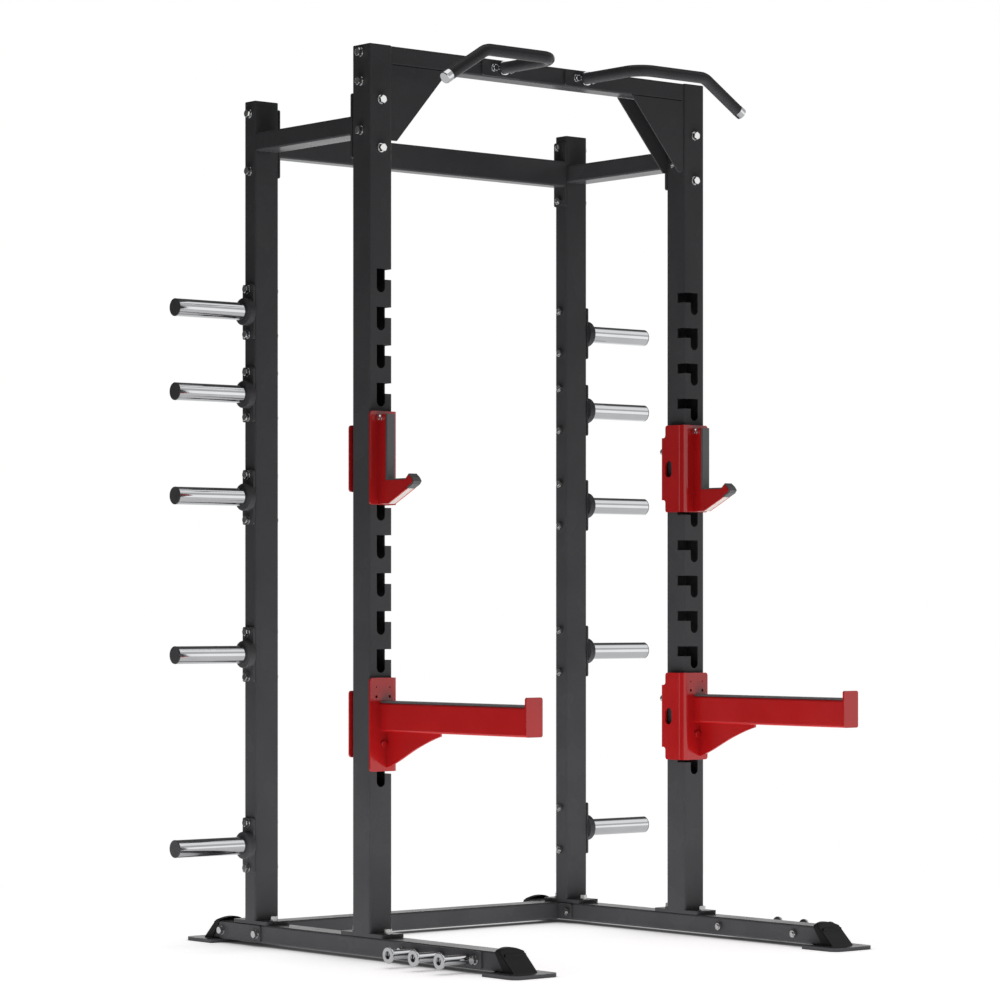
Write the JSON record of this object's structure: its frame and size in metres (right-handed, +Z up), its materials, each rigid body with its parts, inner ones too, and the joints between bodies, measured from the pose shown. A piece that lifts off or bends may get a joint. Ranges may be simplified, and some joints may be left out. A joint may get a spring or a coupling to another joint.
{
  "type": "power cage",
  "caption": "Bolted steel power cage with slotted front uprights, plate storage horns, pull-up grips, red J-hooks and red spotter arms that lift out of the slots.",
  "frame": {"origin": "on the floor, under the middle of the base's length and width", "axes": "+X to the right seen from the front, +Y to the rear, +Z up along the uprights"},
  "size_m": [1.706, 1.422, 2.4055],
  "materials": {
    "black_powder": "satin powder coat",
    "red_powder": "semi-gloss powder coat",
    "chrome": "bright plated",
    "zinc": "zinc plated",
    "black_plastic": "moulded, satin",
    "charcoal_plastic": "moulded, fine grain",
    "liner_plastic": "cut sheet, matte",
    "core_plastic": "cut sheet, matte"
  },
  "bodies": {
    "frame": {"band_peg_plates": "black_powder", "band_peg_screws": "zinc", "band_pegs": "chrome", "base_rail_left": "black_powder", "base_rail_right": "black_powder", "bottom_backing_plates": "black_powder", "bottom_crossmember_end_plates": "black_powder", "foot_plates": "black_powder", "frame_bolts": "zinc", "front_upright_left": "black_powder", "front_upright_right": "black_powder", "grip_bolts": "zinc", "grip_collars": "chrome", "grip_end_caps": "chrome", "grip_mount_plates": "black_powder", "horn_bolts": "zinc", "horn_collars": "black_powder", "horn_end_caps": "charcoal_plastic", "horn_plates": "black_powder", "plate_horns_left": "chrome", "plate_horns_right": "chrome", "pull_up_grip_left": "black_powder", "pull_up_grip_right": "black_powder", "rail_end_caps": "black_plastic", "rear_bottom_crossmember": "black_powder", "rear_top_crossmember": "black_powder", "rear_top_end_plates": "black_powder", "rear_upright_left": "black_powder", "rear_upright_right": "black_powder", "side_rail_end_plates": "black_powder", "top_front_crossmember": "black_powder", "top_front_end_plates": "black_powder", "top_gusset_left": "black_powder", "top_gusset_right": "black_powder", "top_side_rail_left": "black_powder", "top_side_rail_right": "black_powder", "upright_base_flanges": "black_powder", "upright_caps": "black_plastic"},
    "j_hook_left": {"j_hook_bracket_left": "red_powder", "j_hook_core_left": "core_plastic", "j_hook_fasteners_left": "zinc", "j_hook_liner_left": "liner_plastic", "j_hook_side_plates_left": "red_powder"},
    "spotter_arm_left": {"spotter_arm_left": "red_powder", "spotter_bracket_left": "red_powder", "spotter_end_plate_left": "red_powder", "spotter_fasteners_left": "zinc", "spotter_gusset_left": "red_powder", "spotter_strip_left": "liner_plastic"},
    "j_hook_right": {"j_hook_bracket_right": "red_powder", "j_hook_core_right": "core_plastic", "j_hook_fasteners_right": "zinc", "j_hook_liner_right": "liner_plastic", "j_hook_side_plates_right": "red_powder"},
    "spotter_arm_right": {"spotter_arm_right": "red_powder", "spotter_bracket_right": "red_powder", "spotter_end_plate_right": "red_powder", "spotter_fasteners_right": "zinc", "spotter_gusset_right": "red_powder", "spotter_strip_right": "liner_plastic"}
  },
  "joints": [
    {"name": "j_hook_left_lift", "type": "slide", "parent": "frame", "child": "j_hook_left", "axis": [0, 0, 1], "range_m": [0, 0.034]},
    {"name": "j_hook_right_lift", "type": "slide", "parent": "frame", "child": "j_hook_right", "axis": [0, 0, 1], "range_m": [0, 0.034]},
    {"name": "spotter_arm_left_lift", "type": "slide", "parent": "frame", "child": "spotter_arm_left", "axis": [0, 0, 1], "range_m": [0, 0.034]},
    {"name": "spotter_arm_right_lift", "type": "slide", "parent": "frame", "child": "spotter_arm_right", "axis": [0, 0, 1], "range_m": [0, 0.034]}
  ]
}
